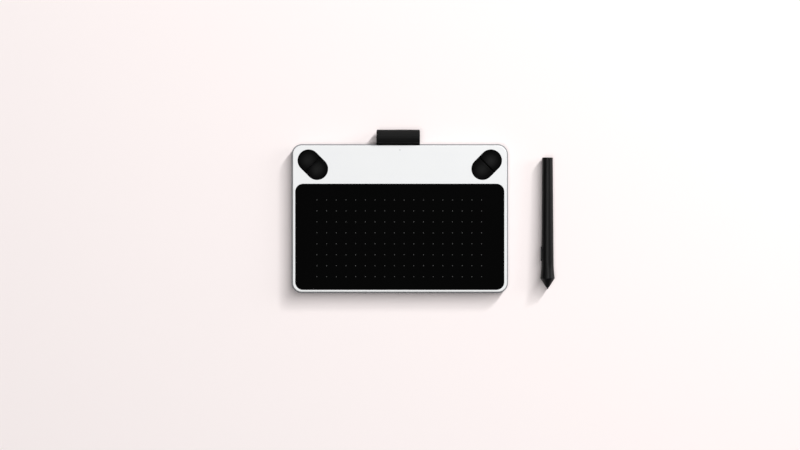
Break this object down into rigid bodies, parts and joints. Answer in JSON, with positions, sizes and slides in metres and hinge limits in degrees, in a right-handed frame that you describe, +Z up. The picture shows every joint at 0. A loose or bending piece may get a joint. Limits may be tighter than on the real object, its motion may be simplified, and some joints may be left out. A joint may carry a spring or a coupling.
{
  "type": "pen drawing tablet",
  "caption": "Slim drawing tablet with a black drawing surface, corner keys, a woven pen loop at the rear edge and a tapered cordless pen lying beside it.",
  "frame": {"origin": "middle of the footprint of tablet, loop and pen, at the surface they rest on", "axes": "+X to the user's right along the tablet's long side, +Y away from the user, +Z up"},
  "size_m": [0.255, 0.1582, 0.0143],
  "materials": {
    "white_shell": "fine satin moulding",
    "grey_shell": "fine satin moulding",
    "drawing_surface": "matt textured film",
    "key_black": "satin moulding",
    "woven_tape": "woven",
    "pen_black": "soft-touch",
    "nose_black": "satin moulding",
    "nib_plastic": "plain",
    "foot_rubber": "matt",
    "label_film": "satin film",
    "screw_steel": "zinc plated",
    "pivot_steel": "polished",
    "shield_steel": "rolled",
    "socket_steel": "nickel plated",
    "circuit_board": "solder mask",
    "black_board": "solder mask",
    "chip_black": "moulded",
    "switch_body": "moulded",
    "plunger_plastic": "moulded",
    "inner_plastic": "moulded",
    "led_body": "moulded",
    "clear_plastic": "moulded",
    "ferrite": "sintered",
    "enamelled_copper": "enamelled wire",
    "flat_cable": "film"
  },
  "bodies": {
    "tablet": {"bottom_cover": "grey_shell", "top_cover": "white_shell", "drawing_sheet": "drawing_surface", "compartment_ceiling": "grey_shell", "rubber_feet": "foot_rubber", "blank_label": "label_film", "case_screws": "screw_steel", "sensor_board": "circuit_board", "shield_plate": "shield_steel", "controller_board": "black_board", "board_screws": "screw_steel", "controller_chips": "chip_black", "status_led": "led_body", "light_pipe": "clear_plastic", "usb_socket": "socket_steel", "usb_tongue": "chip_black", "ribbon_cable": "flat_cable", "ribbon_connector": "chip_black", "battery_contacts": "chip_black", "module_connector": "chip_black", "pen_loop": "woven_tape", "loop_clamp": "inner_plastic", "spare_nibs": "nib_plastic", "nib_puller": "screw_steel", "key_switches": "switch_body"},
    "left_outer_button": {"left_outer_key": "key_black", "left_outer_plunger": "plunger_plastic"},
    "left_inner_button": {"left_inner_key": "key_black", "left_inner_plunger": "plunger_plastic"},
    "right_outer_button": {"right_outer_key": "key_black", "right_outer_plunger": "plunger_plastic"},
    "right_inner_button": {"right_inner_key": "key_black", "right_inner_plunger": "plunger_plastic"},
    "door": {"compartment_door": "grey_shell"},
    "pen": {"pen_nose": "nose_black", "pen_barrel": "pen_black", "pen_end_cap": "pen_black", "switch_pivot": "pivot_steel", "ferrite_core": "ferrite", "antenna_coil": "enamelled_copper", "pressure_sensor": "chip_black", "pen_chassis": "inner_plastic", "pen_board": "black_board", "pen_board_switches": "switch_body"},
    "rocker": {"side_switch": "nose_black"},
    "tip_carrier": {"nib_holder": "plunger_plastic"},
    "tip": {"nib": "nib_plastic"}
  },
  "joints": [
    {"name": "left_outer_press", "type": "slide", "parent": "tablet", "child": "left_outer_button", "axis": [0, 0, -1], "range_m": [0, 0.0005], "stiffness_N_per_m": 2400},
    {"name": "left_inner_press", "type": "slide", "parent": "tablet", "child": "left_inner_button", "axis": [0, 0, -1], "range_m": [0, 0.0005], "stiffness_N_per_m": 2400},
    {"name": "right_outer_press", "type": "slide", "parent": "tablet", "child": "right_outer_button", "axis": [0, 0, -1], "range_m": [0, 0.0005], "stiffness_N_per_m": 2400},
    {"name": "right_inner_press", "type": "slide", "parent": "tablet", "child": "right_inner_button", "axis": [0, 0, -1], "range_m": [0, 0.0005], "stiffness_N_per_m": 2400},
    {"name": "door_slide", "type": "slide", "parent": "tablet", "child": "door", "axis": [-1, 0, 0], "range_m": [0, 0.062]},
    {"name": "pen_lift", "type": "slide", "parent": "tablet", "child": "pen", "axis": [0, 0, 1], "range_m": [0, 0.06]},
    {"name": "side_switch_rock", "type": "hinge", "parent": "pen", "child": "rocker", "pos_m": [0.11792, -0.041, 0.00663], "axis": [0, 0.0147, 0.9999], "range_deg": [-3, 3], "stiffness_Nm_per_rad": 0.12},
    {"name": "tip_press", "type": "slide", "parent": "pen", "child": "tip_carrier", "axis": [0, 0.9999, -0.0147], "range_m": [0, 0.0004], "stiffness_N_per_m": 5000},
    {"name": "tip_pull", "type": "slide", "parent": "tip_carrier", "child": "tip", "axis": [0, -0.9999, 0.0147], "range_m": [0, 0.022]}
  ]
}
